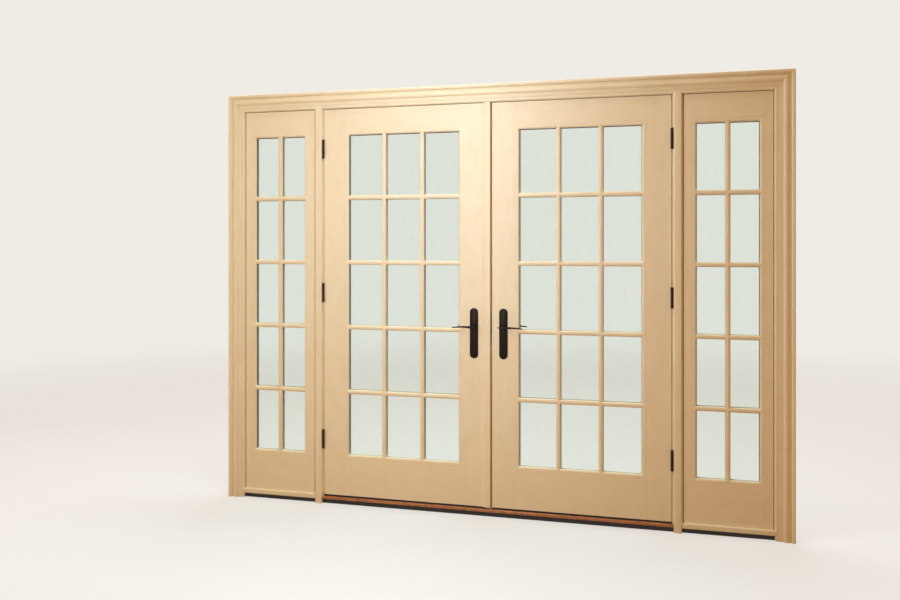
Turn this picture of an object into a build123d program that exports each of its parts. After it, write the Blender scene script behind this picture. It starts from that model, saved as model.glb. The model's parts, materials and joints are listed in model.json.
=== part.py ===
"""French doors with fixed sidelights, in one painted timber frame with its interior casing.

Millimetres. X runs across the unit, Z is up, and +Y points outdoors. The shapes are drawn with
y = 0 in the plane of the frame's room-side edge, and written with the origin on the floor, under
the middle of the frame's width and depth.
"""
from build123d import *
import math
import os

os.makedirs("parts", exist_ok=True)

# Door leaves
LEAF_W = 895.0
LEAF_H = 2083.0
LEAF_T = 45.0
STILE_W = 120.0
TOP_RAIL_H = 119.0
BOTTOM_RAIL_H = 199.0
ARRIS_R = 2.0
DOOR_COLS = 3

# Fixed sidelights
SIDE_W = 412.0
SIDE_STILE_W = 39.0
SIDE_COLS = 2
ROWS = 5

# Glazing
BEAD_W = 22.0
MUNTIN_W = 24.0
OVOLO_RUN = 8.0
OVOLO_STEPS = 3
FILLET_RISE = 1.2
LIP_RISE = 3.0
FACE_STEP = 0.5
JOINT_EASE = 0.8
UNIT_T = 20.0
PANE_T = 4.0
SPACER_W = 24.0
SPACER_BAR_W = 12.0

# Frame
JAMB_T = 19.0
FRAME_D = 116.0
POST_W = 50.0
STOP_H = 13.0
STOP_GAP = 2.0
HINGE_GAP = 3.0
HEAD_GAP = 3.0
SIDE_GAP = 2.5
MEETING_GAP = 8.0

# Sill, threshold and ledges
SILL_H = 24.0
SILL_SET_BACK = 6.0
SILL_NOSE = 30.0
SILL_BEVEL = 10.0
THRESHOLD_T = 16.0
THRESHOLD_NOSE = 9.0
FOOT_GAP = 10.0
LEDGE_NOSE = 12.0
NOSING_R = 5.0

# Casing
CASING_W = 86.0
CASING_REVEAL = 8.0
HEAD_REVEAL = 7.0
CASING_LIP_T = 11.0
CASING_FIELD_T = 13.0
CASING_COVE_T = 20.0
CASING_BAND_T = 24.0
LIP_END = 22.0
COVE_START = 46.0
COVE_END = 61.0
BAND_START = 72.0
QUIRK_W = 2.5
QUIRK_D = 2.0
CASING_EASE = 3.0
POST_CASING_T = 14.0
DOOR_REVEAL = 6.0
SIDE_REVEAL = 4.0

# Astragal and its bolts
ASTRAGAL_W = 27.0
ASTRAGAL_PROUD = 9.0
ASTRAGAL_LAP = 19.0
ASTRAGAL_SLOPE_W = 18.0
ASTRAGAL_EDGE_T = 3.0
SEAL_T = 5.0
SEAL_W = 8.0
SEAL_SET_BACK = 9.0
ROD_R = 5.0
ROD_L = 240.0
ROD_TRAVEL = 18.0
SOCKET_PLAY = 0.6

# Hinges
HINGE_L = 98.0
HINGE_LEAF_T = 2.5
HINGE_LEAF_D = 36.0
KNUCKLE_R = 6.5
KNUCKLES = 5
PIN_R = 3.0
PIN_TIP = 1.8
HINGE_TOP_DROP = 213.0
HINGE_MID_DROP = 990.0
HINGE_FOOT_RISE = 300.0

# Handles
HANDLE_RISE = 927.0
BACKSET = 60.0
PLATE_W = 44.0
PLATE_L = 260.0
PLATE_T = 6.0
PLATE_BEVEL = 2.0
PLATE_ABOVE = 97.0
NECK_R = 9.0
COLLAR_R = 13.0
COLLAR_T = 7.0
LEVER_STAND = 46.0
LEVER_D = 10.0
LEVER_L = 108.0
LEVER_BACK = 24.0
LEVER_ROOT_H = 15.0
LEVER_WAIST_H = 9.0
LEVER_TIP_H = 4.5
LEVER_WAVE = 3.0
SPINDLE = 8.0
SPINDLE_HOLD = 22.0

# Lock
CASE_T = 16.0
CASE_D = 88.0
CASE_H = 150.0
FACEPLATE_T = 3.0
FACEPLATE_W = 22.0
FACEPLATE_H = 172.0
BOLT_T = 12.0
BOLT_H = 24.0
BOLT_L = 40.0
BOLT_TRAVEL = 14.0
BOLT_DROP = 26.0
STRIKE_LIP = 10.0

# Clearances
SLIDE_PLAY = 0.08
BODY_PLAY = 0.3
CUT = 1.0

# Places worked out from the sizes above
CENTRE_HALF = (2 * LEAF_W + ASTRAGAL_W + MEETING_GAP + 2 * HINGE_GAP) / 2
LEAF_EDGE = CENTRE_HALF - HINGE_GAP
POST_OUT = CENTRE_HALF + POST_W
SIDE_IN = POST_OUT + SIDE_GAP
SIDE_OUT = SIDE_IN + SIDE_W
JAMB_IN = SIDE_OUT + SIDE_GAP
JAMB_OUT = JAMB_IN + JAMB_T
CASING_IN = JAMB_IN + CASING_REVEAL
CASING_OUT = CASING_IN + CASING_W
LEAF_FOOT = SILL_H + THRESHOLD_T + FOOT_GAP
LEAF_TOP = LEAF_FOOT + LEAF_H
HEAD_Z = LEAF_TOP + HEAD_GAP
CASING_Z = HEAD_Z + HEAD_REVEAL
TOP_Z = CASING_Z + CASING_W
STOP_Y = LEAF_T + STOP_GAP
BAR_T = (LEAF_T - UNIT_T) / 2 - FACE_STEP
MEETING_X = LEAF_EDGE - LEAF_W
ASTRAGAL_X = -MEETING_X + ASTRAGAL_W
AXIS_X = CENTRE_HALF - HINGE_GAP / 2
AXIS_Y = -KNUCKLE_R - FACE_STEP
HANDLE_X = MEETING_X + BACKSET
HANDLE_Z = LEAF_FOOT + HANDLE_RISE
MID_Y = LEAF_T / 2
HINGE_ZS = [LEAF_TOP - HINGE_TOP_DROP, LEAF_TOP - HINGE_MID_DROP, LEAF_FOOT + HINGE_FOOT_RISE]
ROD_Y = MID_Y
ROD_X = -MEETING_X + ASTRAGAL_W / 2


def save(node, shape):
    """Write one sub-part, moved so that the origin lies under the frame's middle."""
    export_step(Pos(0, -FRAME_D / 2, 0) * shape, f"parts/{node}.step")


def block(x0, x1, y0, y1, z0, z1):
    """A box between two corners."""
    centre = Pos((x0 + x1) / 2, (y0 + y1) / 2, (z0 + z1) / 2)
    return centre * Box(abs(x1 - x0), abs(y1 - y0), abs(z1 - z0))


def mirrored(shape):
    """The same shape on the other side of the unit's middle."""
    return mirror(shape, about=Plane.YZ)


def rod(radius, length, start, axis):
    """A cylinder from a start point along X, Y or Z."""
    return extrude(Plane(origin=start, z_dir=axis) * Circle(radius), length)


def wedge(points, depth0, depth1):
    """A prism through the unit's depth, on an outline given as (x, z) corners."""
    corners = [(x, depth0, z) for x, z in points]
    face = make_face(Polyline(*corners, close=True))
    return extrude(face, depth1 - depth0, dir=(0, 1, 0))


# Frame: jambs, posts, head and sill
def jamb():
    """Side jamb with its rebate, on the left of the unit."""
    board = block(-JAMB_OUT, -JAMB_IN, 0, FRAME_D, SILL_H, HEAD_Z)
    stop = block(-JAMB_IN, -JAMB_IN + STOP_H, STOP_Y, FRAME_D, SILL_H, HEAD_Z)
    return board + stop


def post():
    """Post between the left sidelight and the left leaf, rebated on both sides."""
    board = block(-POST_OUT, -CENTRE_HALF, 0, FRAME_D, SILL_H, HEAD_Z)
    stop = block(-POST_OUT - STOP_H, -CENTRE_HALF + STOP_H, STOP_Y, FRAME_D, SILL_H, HEAD_Z)
    return board + stop - hinge_gains(-CENTRE_HALF - HINGE_LEAF_T, -CENTRE_HALF)


def head():
    """Head over all the bays, with a stop in each bay and a socket for the top bolt."""
    board = block(-JAMB_OUT, JAMB_OUT, 0, FRAME_D, HEAD_Z, HEAD_Z + JAMB_T)
    bays = [
        (-JAMB_IN + STOP_H, -POST_OUT - STOP_H),
        (-CENTRE_HALF + STOP_H, CENTRE_HALF - STOP_H),
        (POST_OUT + STOP_H, JAMB_IN - STOP_H),
    ]
    for x0, x1 in bays:
        board += block(x0, x1, STOP_Y, FRAME_D, HEAD_Z - STOP_H, HEAD_Z)
    depth = ROD_TRAVEL - HEAD_GAP + CUT
    return board - rod(ROD_R + SOCKET_PLAY, depth, (ROD_X, ROD_Y, HEAD_Z), (0, 0, 1))


def sill():
    """Dark sill under the whole unit, with a bevelled nose outdoors."""
    bar = block(-JAMB_OUT, JAMB_OUT, SILL_SET_BACK, FRAME_D + SILL_NOSE, 0, SILL_H)
    edge = bar.edges().filter_by(Axis.X).group_by(Axis.Y)[-1].sort_by(Axis.Z)[-1]
    return chamfer(edge, SILL_BEVEL)


def nosed_board(x_back0, x_back1, x_front0, x_front1, nose, z0, z1):
    """A board in the rebate whose rounded nose runs out between the casings."""
    back = block(x_back0, x_back1, 0, STOP_Y, z0, z1)
    front = block(x_front0, x_front1, -nose, 0, z0, z1)
    edges = front.edges().filter_by(Axis.X).group_by(Axis.Y)[0]
    return back + fillet(edges, NOSING_R)


def threshold():
    """Oak threshold between the posts, with a socket for the bottom bolt."""
    front = CENTRE_HALF + DOOR_REVEAL
    top = SILL_H + THRESHOLD_T
    board = nosed_board(-CENTRE_HALF, CENTRE_HALF, -front, front, THRESHOLD_NOSE, SILL_H, top)
    depth = ROD_TRAVEL - FOOT_GAP + CUT
    return board - rod(ROD_R + SOCKET_PLAY, depth, (ROD_X, ROD_Y, top), (0, 0, -1))


def ledge():
    """Painted ledge that the left sidelight stands on."""
    front0, front1 = -CASING_IN, -POST_OUT + SIDE_REVEAL
    return nosed_board(-JAMB_IN, -POST_OUT, front0, front1, LEDGE_NOSE, SILL_H, LEAF_FOOT)


# Casing
def casing_face(place):
    """The moulded section. place(across, proud) puts one of its points in the model."""
    ease = CASING_EASE
    quirk1 = LIP_END + QUIRK_W
    quirk2 = BAND_START - QUIRK_W
    cove_mid = (COVE_START + 0.68 * (COVE_END - COVE_START),
                CASING_FIELD_T + 0.25 * (CASING_COVE_T - CASING_FIELD_T))
    corner = ease * (1 - math.sqrt(0.5))
    lines = [
        Polyline(place(ease, CASING_LIP_T), place(LIP_END, CASING_LIP_T),
                 place(LIP_END, CASING_LIP_T - QUIRK_D), place(quirk1, CASING_LIP_T - QUIRK_D),
                 place(quirk1, CASING_FIELD_T), place(COVE_START, CASING_FIELD_T)),
        ThreePointArc(place(COVE_START, CASING_FIELD_T), place(*cove_mid),
                      place(COVE_END, CASING_COVE_T)),
        Polyline(place(COVE_END, CASING_COVE_T), place(quirk2, CASING_COVE_T),
                 place(quirk2, CASING_COVE_T - QUIRK_D), place(BAND_START, CASING_COVE_T - QUIRK_D),
                 place(BAND_START, CASING_BAND_T), place(CASING_W - ease, CASING_BAND_T)),
        ThreePointArc(place(CASING_W - ease, CASING_BAND_T),
                      place(CASING_W - corner, CASING_BAND_T - corner),
                      place(CASING_W, CASING_BAND_T - ease)),
        Polyline(place(CASING_W, CASING_BAND_T - ease), place(CASING_W, 0), place(0, 0),
                 place(0, CASING_LIP_T - ease)),
        ThreePointArc(place(0, CASING_LIP_T - ease), place(corner, CASING_LIP_T - corner),
                      place(ease, CASING_LIP_T)),
    ]
    return make_face(lines)


def side_casing():
    """Left casing leg, cut to a mitre at its top."""
    face = casing_face(lambda across, proud: Vector(-CASING_IN - across, -proud, 0))
    leg = extrude(face, TOP_Z, dir=(0, 0, 1))
    above = [(-CASING_IN, CASING_Z), (-CASING_OUT, TOP_Z), (-CASING_OUT, TOP_Z + CUT),
             (-CASING_IN + CUT, TOP_Z + CUT), (-CASING_IN + CUT, CASING_Z)]
    return leg - wedge(above, -CASING_BAND_T - CUT, CUT)


def head_casing():
    """Head casing, mitred at both ends."""
    face = casing_face(lambda across, proud: Vector(-CASING_OUT, -proud, CASING_Z + across))
    bar = extrude(face, 2 * CASING_OUT, dir=(1, 0, 0))
    below = [(-CASING_IN, CASING_Z), (-CASING_OUT, TOP_Z), (-CASING_OUT - CUT, TOP_Z),
             (-CASING_OUT - CUT, CASING_Z - CUT), (-CASING_IN, CASING_Z - CUT)]
    cut = wedge(below, -CASING_BAND_T - CUT, CUT)
    return bar - cut - mirrored(cut)


def post_casing():
    """Flat strip over the left post, down to the floor."""
    x0 = -POST_OUT + SIDE_REVEAL
    x1 = -CENTRE_HALF - DOOR_REVEAL
    strip = block(x0, x1, -POST_CASING_T, 0, 0, CASING_Z)
    return fillet(strip.edges().filter_by(Axis.Z).group_by(Axis.Y)[0], ARRIS_R)


# Panels: stiles, rails, glazing
def stile(x0, x1, outer):
    """A stile with eased arrises on its outer edge: the first or last in X."""
    bar = block(x0, x1, 0, LEAF_T, LEAF_FOOT, LEAF_TOP)
    edges = bar.edges().filter_by(Axis.Z).group_by(Axis.X)
    return fillet(edges[0] if outer == "first" else edges[-1], ARRIS_R)


def rails(x0, x1, width):
    """Top and bottom rails between two stiles, eased at the joints on both faces."""
    ends = (x0 + width, x1 - width)
    top = block(*ends, 0, LEAF_T, LEAF_TOP - TOP_RAIL_H, LEAF_TOP)
    bottom = block(*ends, 0, LEAF_T, LEAF_FOOT, LEAF_FOOT + BOTTOM_RAIL_H)
    return [chamfer(rail.edges().filter_by(Axis.Z), JOINT_EASE) for rail in (top, bottom)]


def cell_centres(width, height, cols):
    """Middle of every light, counted from the middle of the opening, and one light's size."""
    light_w = (width - 2 * BEAD_W - (cols - 1) * MUNTIN_W) / cols
    light_h = (height - 2 * BEAD_W - (ROWS - 1) * MUNTIN_W) / ROWS
    pitch_w = light_w + MUNTIN_W
    pitch_h = light_h + MUNTIN_W
    centres = [((c - (cols - 1) / 2) * pitch_w, (r - (ROWS - 1) / 2) * pitch_h)
               for c in range(cols) for r in range(ROWS)]
    return centres, light_w, light_h


def lattice(width, height, cols):
    """Glazing bead and muntins in one lattice, flat on XY, its moulded face up.

    Every light is cut straight near the glass, flares out in an ovolo, a quarter-round drawn in
    a few flats, and meets the face in a small upright fillet.
    """
    centres, light_w, light_h = cell_centres(width, height, cols)
    tool = Pos(0, 0, LIP_RISE / 2) * Box(light_w, light_h, LIP_RISE)
    rise = BAR_T - FILLET_RISE - LIP_RISE
    turns = [math.pi / 2 * step / OVOLO_STEPS for step in range(OVOLO_STEPS + 1)]
    levels = [(OVOLO_RUN * (1 - math.cos(turn)), LIP_RISE + rise * math.sin(turn))
              for turn in turns]
    for (out0, up0), (out1, up1) in zip(levels, levels[1:]):
        tool += loft([Pos(0, 0, up) * Rectangle(light_w + 2 * out, light_h + 2 * out)
                      for out, up in ((out0, up0), (out1, up1))])
    fillet_box = Box(light_w + 2 * OVOLO_RUN, light_h + 2 * OVOLO_RUN, FILLET_RISE)
    tool += Pos(0, 0, BAR_T - FILLET_RISE / 2) * fillet_box
    plate = Pos(0, 0, BAR_T / 2) * Box(width, height, BAR_T)
    plate = chamfer(plate.faces().sort_by(Axis.Z)[-1].edges(), JOINT_EASE)
    return plate - [Pos(u, v, 0) * tool for u, v in centres]


def spacer_grid(width, height, cols):
    """Spacer round the glass unit's edge with bars behind the muntins, flat on XY."""
    centres, light_w, light_h = cell_centres(width, height, cols)
    thick = UNIT_T - 2 * PANE_T
    grow = (MUNTIN_W - SPACER_BAR_W) / 2
    limit_w = width / 2 - SPACER_W
    limit_h = height / 2 - SPACER_W
    grid = Pos(0, 0, thick / 2) * Box(width, height, thick)
    holes = []
    for u, v in centres:
        u0 = max(u - light_w / 2 - grow, -limit_w)
        u1 = min(u + light_w / 2 + grow, limit_w)
        v0 = max(v - light_h / 2 - grow, -limit_h)
        v1 = min(v + light_h / 2 + grow, limit_h)
        holes.append(block(u0, u1, v0, v1, 0, thick))
    return grid - holes


def glazing(x0, x1, cols):
    """Lattices on both faces, two panes and their spacer, for the opening from x0 to x1."""
    z0 = LEAF_FOOT + BOTTOM_RAIL_H
    z1 = LEAF_TOP - TOP_RAIL_H
    width, height = x1 - x0, z1 - z0
    unit_y = FACE_STEP + BAR_T
    stand = Pos((x0 + x1) / 2, unit_y, (z0 + z1) / 2) * Rot(90, 0, 0)
    inner = stand * lattice(width, height, cols)
    outer = mirror(inner, about=Plane((0, MID_Y, 0), z_dir=(0, 1, 0)))
    pane = block(x0, x1, unit_y, unit_y + PANE_T, z0, z1)
    far_pane = Pos(0, UNIT_T - PANE_T, 0) * pane
    spacer = Pos(0, UNIT_T - PANE_T, 0) * stand * spacer_grid(width, height, cols)
    return Compound([inner, outer]), Compound([pane, far_pane]), spacer


# Hinges
def hinge_gains(x0, x1):
    """Recesses for the hinge leaves in one edge, from x0 to x1."""
    cuts = [block(x0, x1, -CUT, HINGE_LEAF_D, z - HINGE_L / 2, z + HINGE_L / 2)
            for z in HINGE_ZS]
    return cuts[0] + cuts[1] + cuts[2]


def knuckle(z, index, radius, play):
    """One knuckle of the barrel at height z, counted from the foot."""
    length = HINGE_L / KNUCKLES
    z0 = z - HINGE_L / 2 + index * length + play
    return rod(radius, length - 2 * play, (-AXIS_X, AXIS_Y, z0), (0, 0, 1))


def hinge_leaf(z, plate_x0, plate_x1, own):
    """A hinge leaf with its own knuckles, notched for the other leaf's."""
    half = HINGE_L / 2
    step = HINGE_L / KNUCKLES
    leaf = block(plate_x0, plate_x1, AXIS_Y, HINGE_LEAF_D, z - half, z + half)
    for index in range(KNUCKLES):
        if index in own:
            leaf += knuckle(z, index, KNUCKLE_R, SLIDE_PLAY)
        else:
            z0 = z - half + index * step
            leaf -= block(plate_x0, plate_x1, AXIS_Y - CUT, BODY_PLAY, z0, z0 + step)
    bore = rod(PIN_R + SLIDE_PLAY, HINGE_L + 2 * CUT, (-AXIS_X, AXIS_Y, z - half - CUT), (0, 0, 1))
    return leaf - bore


def hinge_pin(z):
    """Pin with a flat button at each end of the barrel."""
    half = HINGE_L / 2
    pin = rod(PIN_R, HINGE_L, (-AXIS_X, AXIS_Y, z - half), (0, 0, 1))
    for end, sign in ((z + half, 1), (z - half, -1)):
        pin += rod(KNUCKLE_R, PIN_TIP, (-AXIS_X, AXIS_Y, end), (0, 0, sign))
    return pin


def hinges():
    """Frame leaves and door leaves of the three hinges on the left leaf."""
    frame_x = (-CENTRE_HALF - HINGE_LEAF_T, -CENTRE_HALF)
    door_x = (-LEAF_EDGE, -LEAF_EDGE + HINGE_LEAF_T)
    frame_leaves = [hinge_leaf(z, *frame_x, (0, 2, 4)) for z in HINGE_ZS]
    door_leaves = [hinge_leaf(z, *door_x, (1, 3)) for z in HINGE_ZS]
    return Compound(frame_leaves), Compound(door_leaves)


# Handles, made for the left leaf
def plates():
    """Long escutcheon plates on both faces, bored for the lever's neck."""
    middle_z = HANDLE_Z + PLATE_ABOVE - PLATE_L / 2
    outline = Plane((-HANDLE_X, 0, middle_z), x_dir=(0, 0, 1), z_dir=(0, -1, 0))
    plate = extrude(outline * SlotOverall(PLATE_L, PLATE_W), PLATE_T)
    rim = plate.faces().sort_by(Axis.Y)[0].edges()
    plate = chamfer(rim, PLATE_BEVEL)
    bore = rod(NECK_R + SLIDE_PLAY, PLATE_T + 2 * CUT, (-HANDLE_X, CUT, HANDLE_Z), (0, -1, 0))
    inner = plate - bore
    outer = mirror(inner, about=Plane((0, MID_Y, 0), z_dir=(0, 1, 0)))
    return Compound([inner, outer])


def lever_outline():
    """Waved outline of the lever in (along, up): a short scroll behind, a tapered arm in front."""
    root, waist, tip = LEVER_ROOT_H / 2, LEVER_WAIST_H / 2, LEVER_TIP_H / 2
    wave = LEVER_WAVE
    dip, crest = 0.3 * LEVER_L, 0.74 * LEVER_L
    heel, nose = -LEVER_BACK + tip, LEVER_L - tip
    lines = [
        ThreePointArc((heel, wave + tip), (heel / 2, wave + 0.6 * tip), (0, root)),
        ThreePointArc((0, root), (0.55 * dip, waist + 0.4 * tip), (dip, waist - 0.4 * wave)),
        ThreePointArc((dip, waist - 0.4 * wave), ((dip + crest) / 2, waist - 0.1 * wave),
                      (crest, tip + 0.7 * wave)),
        ThreePointArc((crest, tip + 0.7 * wave), ((crest + nose) / 2, tip + 0.5 * wave),
                      (nose, tip)),
        ThreePointArc((nose, tip), (LEVER_L, 0), (nose, -tip)),
        ThreePointArc((nose, -tip), ((crest + nose) / 2, 0.5 * wave - tip),
                      (crest, 0.5 * wave - 1.2 * tip)),
        ThreePointArc((crest, 0.5 * wave - 1.2 * tip), ((dip + crest) / 2, -0.8 * waist),
                      (dip, -waist - 0.4 * wave)),
        ThreePointArc((dip, -waist - 0.4 * wave), (0.5 * dip, -0.9 * root), (0, -root)),
        ThreePointArc((0, -root), (heel / 2, -0.4 * tip), (heel, wave - tip)),
        ThreePointArc((heel, wave - tip), (-LEVER_BACK, wave), (heel, wave + tip)),
    ]
    return make_face(lines)


def lever():
    """Room-side lever of the left leaf: it points to the hinges."""
    plane = Plane((-HANDLE_X, -LEVER_STAND, HANDLE_Z), x_dir=(-1, 0, 0), z_dir=(0, 1, 0))
    arm = extrude(plane * lever_outline(), LEVER_D / 2, both=True)
    neck = rod(NECK_R, LEVER_STAND, (-HANDLE_X, 0, HANDLE_Z), (0, -1, 0))
    collar_y = -PLATE_T - BODY_PLAY
    collar = rod(COLLAR_R, COLLAR_T, (-HANDLE_X, collar_y, HANDLE_Z), (0, -1, 0))
    collar = chamfer(collar.edges().sort_by(Axis.Y)[0], COLLAR_T * 0.4)
    return arm + neck + collar


def levers():
    """Room-side lever with a square socket, and outdoor lever with the spindle on it."""
    whole = lever()
    socket_y = -SPINDLE_HOLD
    half = SPINDLE / 2
    socket = block(-HANDLE_X - half, -HANDLE_X + half, socket_y, CUT, HANDLE_Z - half,
                   HANDLE_Z + half)
    outer = mirror(whole, about=Plane((0, MID_Y, 0), z_dir=(0, 1, 0)))
    spindle = block(-HANDLE_X - half, -HANDLE_X + half, socket_y, LEAF_T + CUT, HANDLE_Z - half,
                    HANDLE_Z + half)
    return whole - socket, outer + spindle


def lever_bore(x):
    """Hole through a stile for the spindle and both necks."""
    return rod(NECK_R + BODY_PLAY, LEAF_T + 2 * CUT, (x, -CUT, HANDLE_Z), (0, 1, 0))


# Lock of the right leaf
def bolt_z():
    """Height of the lock bolt's middle."""
    return HANDLE_Z - BOLT_DROP


def lock_space():
    """Recess in the right leaf's meeting stile for the lock case and its faceplate."""
    z = HANDLE_Z - BOLT_DROP / 2
    case = block(MEETING_X, MEETING_X + CASE_D, MID_Y - CASE_T / 2, MID_Y + CASE_T / 2,
                 z - CASE_H / 2, z + CASE_H / 2)
    plate = block(MEETING_X, MEETING_X + FACEPLATE_T, MID_Y - FACEPLATE_W / 2,
                  MID_Y + FACEPLATE_W / 2, z - FACEPLATE_H / 2, z + FACEPLATE_H / 2)
    return case + plate


def bolt_at(play, x0, x1):
    """The bolt's section, widened by a play, from x0 to x1."""
    z = bolt_z()
    return block(x0, x1, MID_Y - BOLT_T / 2 - play, MID_Y + BOLT_T / 2 + play,
                 z - BOLT_H / 2 - play, z + BOLT_H / 2 + play)


def lock_case():
    """Case and faceplate, with the bolt's channel and a hole for the spindle's hub."""
    channel = bolt_at(SLIDE_PLAY, MEETING_X - CUT, MEETING_X + BOLT_L + BOLT_TRAVEL + CUT)
    hub = rod(NECK_R + BODY_PLAY, CASE_T + 2 * CUT, (HANDLE_X, MID_Y - CASE_T / 2 - CUT, HANDLE_Z),
              (0, 1, 0))
    return lock_space() - channel - hub


def astragal():
    """Strip on the left leaf's meeting edge, bored for its bolts and the lock's keep.

    Its room side is a flange that laps over the leaf's face and slopes down to a thin edge.
    """
    lap_x = -MEETING_X - ASTRAGAL_LAP
    corners = [(-MEETING_X, LEAF_T), (ASTRAGAL_X, LEAF_T), (ASTRAGAL_X, -ASTRAGAL_PROUD),
               (lap_x + ASTRAGAL_SLOPE_W, -ASTRAGAL_PROUD), (lap_x, -ASTRAGAL_EDGE_T), (lap_x, 0),
               (-MEETING_X, 0)]
    section = make_face(Polyline(*[(x, y, LEAF_FOOT) for x, y in corners], close=True))
    strip = extrude(section, LEAF_H, dir=(0, 0, 1))
    upright = strip.edges().filter_by(Axis.Z).group_by(Axis.X)[-1].sort_by(Axis.Y)[0]
    strip = fillet(upright, ARRIS_R)
    keep = bolt_at(SOCKET_PLAY, ASTRAGAL_X - BOLT_TRAVEL - CUT, ASTRAGAL_X + CUT)
    bore = ROD_L + ROD_TRAVEL + CUT
    strip -= rod(ROD_R + SLIDE_PLAY, bore, (ROD_X, ROD_Y, LEAF_TOP - bore), (0, 0, 1))
    strip -= rod(ROD_R + SLIDE_PLAY, bore, (ROD_X, ROD_Y, LEAF_FOOT), (0, 0, 1))
    return strip - keep - strike_plate_space()


def strike_plate_space():
    """Outline of the strike plate in the astragal's edge, with its lip towards the room."""
    z = HANDLE_Z - BOLT_DROP / 2
    half = FACEPLATE_H / 2
    return block(ASTRAGAL_X - FACEPLATE_T, ASTRAGAL_X, MID_Y - FACEPLATE_W / 2 - STRIKE_LIP,
                 MID_Y + FACEPLATE_W / 2, z - half, z + half)


def strike():
    """Strike plate with a window for the bolt."""
    window = bolt_at(SOCKET_PLAY, ASTRAGAL_X - FACEPLATE_T - CUT, ASTRAGAL_X + CUT)
    return strike_plate_space() - window


def meeting_seal():
    """Brown strip along the astragal's edge, stopped above and below the strike plate."""
    strip = block(ASTRAGAL_X, ASTRAGAL_X + SEAL_T, SEAL_SET_BACK, SEAL_SET_BACK + SEAL_W,
                  LEAF_FOOT, LEAF_TOP)
    strip = fillet(strip.edges().filter_by(Axis.Z).group_by(Axis.X)[-1], SEAL_T * 0.6)
    z = HANDLE_Z - BOLT_DROP / 2
    half = FACEPLATE_H / 2
    return strip - block(ASTRAGAL_X, ASTRAGAL_X + SEAL_T, 0, LEAF_T, z - half, z + half)


def build_frame():
    """Write the fixed frame and its casing."""
    save("head_jamb", head())
    save("sill", sill())
    save("threshold", threshold())
    save("head_casing", head_casing())
    pairs = {"jamb": jamb(), "post": post(), "ledge": ledge(), "casing": side_casing(),
             "post_casing": post_casing()}
    for name, piece in pairs.items():
        save(f"left_{name}", piece)
        save(f"right_{name}", mirrored(piece))


def build_sidelights():
    """Write both fixed sidelights."""
    x0, x1 = -SIDE_OUT, -SIDE_IN
    outer = stile(x0, x0 + SIDE_STILE_W, "first")
    inner = stile(x1 - SIDE_STILE_W, x1, "last")
    top, bottom = rails(x0, x1, SIDE_STILE_W)
    muntins, panes, spacer = glazing(x0 + SIDE_STILE_W, x1 - SIDE_STILE_W, SIDE_COLS)
    pieces = {"outer_stile": outer, "inner_stile": inner, "top_rail": top, "bottom_rail": bottom,
              "muntins": muntins, "panes": panes, "spacer": spacer}
    for name, piece in pieces.items():
        save(f"left_sidelight_{name}", piece)
        save(f"right_sidelight_{name}", mirrored(piece))


def build_leaves():
    """Write both door leaves. The right one is the mirror image, with the lock let in."""
    x0, x1 = -LEAF_EDGE, -MEETING_X
    gains = hinge_gains(x0, x0 + HINGE_LEAF_T)
    hinge_stile = stile(x0, x0 + STILE_W, "first") - gains
    lock_stile = stile(x1 - STILE_W, x1, "last") - lever_bore(-HANDLE_X)
    top, bottom = rails(x0, x1, STILE_W)
    muntins, panes, spacer = glazing(x0 + STILE_W, x1 - STILE_W, DOOR_COLS)
    pieces = {"hinge_stile": hinge_stile, "lock_stile": lock_stile, "top_rail": top,
              "bottom_rail": bottom, "muntins": muntins, "panes": panes, "spacer": spacer}
    for name, piece in pieces.items():
        save(f"left_door_{name}", piece)
        other = mirrored(piece)
        if name == "lock_stile":
            other = other - lock_space()
        save(f"right_door_{name}", other)


def build_hardware():
    """Write the hinges, handles, lock, astragal, bolts and seal."""
    inner_lever, outer_lever = levers()
    frame_leaves, door_leaves = hinges()
    pins = [hinge_pin(z) for z in HINGE_ZS]
    pairs = {"hinge_frame_leaves": frame_leaves, "hinge_door_leaves": door_leaves,
             "handle_plates": plates(), "room_lever": inner_lever, "outdoor_lever": outer_lever}
    for name, piece in pairs.items():
        save(f"left_{name}", piece)
        save(f"right_{name}", mirrored(piece))
    save("hinge_pins", Compound(pins + [mirrored(pin) for pin in pins]))
    save("lock_case", lock_case())
    save("lock_bolt", bolt_at(0, MEETING_X, MEETING_X + BOLT_L))
    save("astragal", astragal())
    save("strike_plate", strike())
    save("meeting_seal", meeting_seal())
    save("top_bolt", rod(ROD_R, ROD_L, (ROD_X, ROD_Y, LEAF_TOP - ROD_L), (0, 0, 1)))
    save("bottom_bolt", rod(ROD_R, ROD_L, (ROD_X, ROD_Y, LEAF_FOOT), (0, 0, 1)))


build_frame()
build_sidelights()
build_leaves()
build_hardware()
print("Overall:", 2 * CASING_OUT, "wide,", TOP_Z, "high")
print("Hinge axis:", AXIS_X, AXIS_Y, "handle:", HANDLE_X, HANDLE_Z, "bolt rod:", ROD_X, ROD_Y)
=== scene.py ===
"""French doors with fixed sidelights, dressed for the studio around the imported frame.

Metres. X runs across the unit, +Y points outdoors, Z is up, and the origin lies on the floor.
"""

import json
import math

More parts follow.
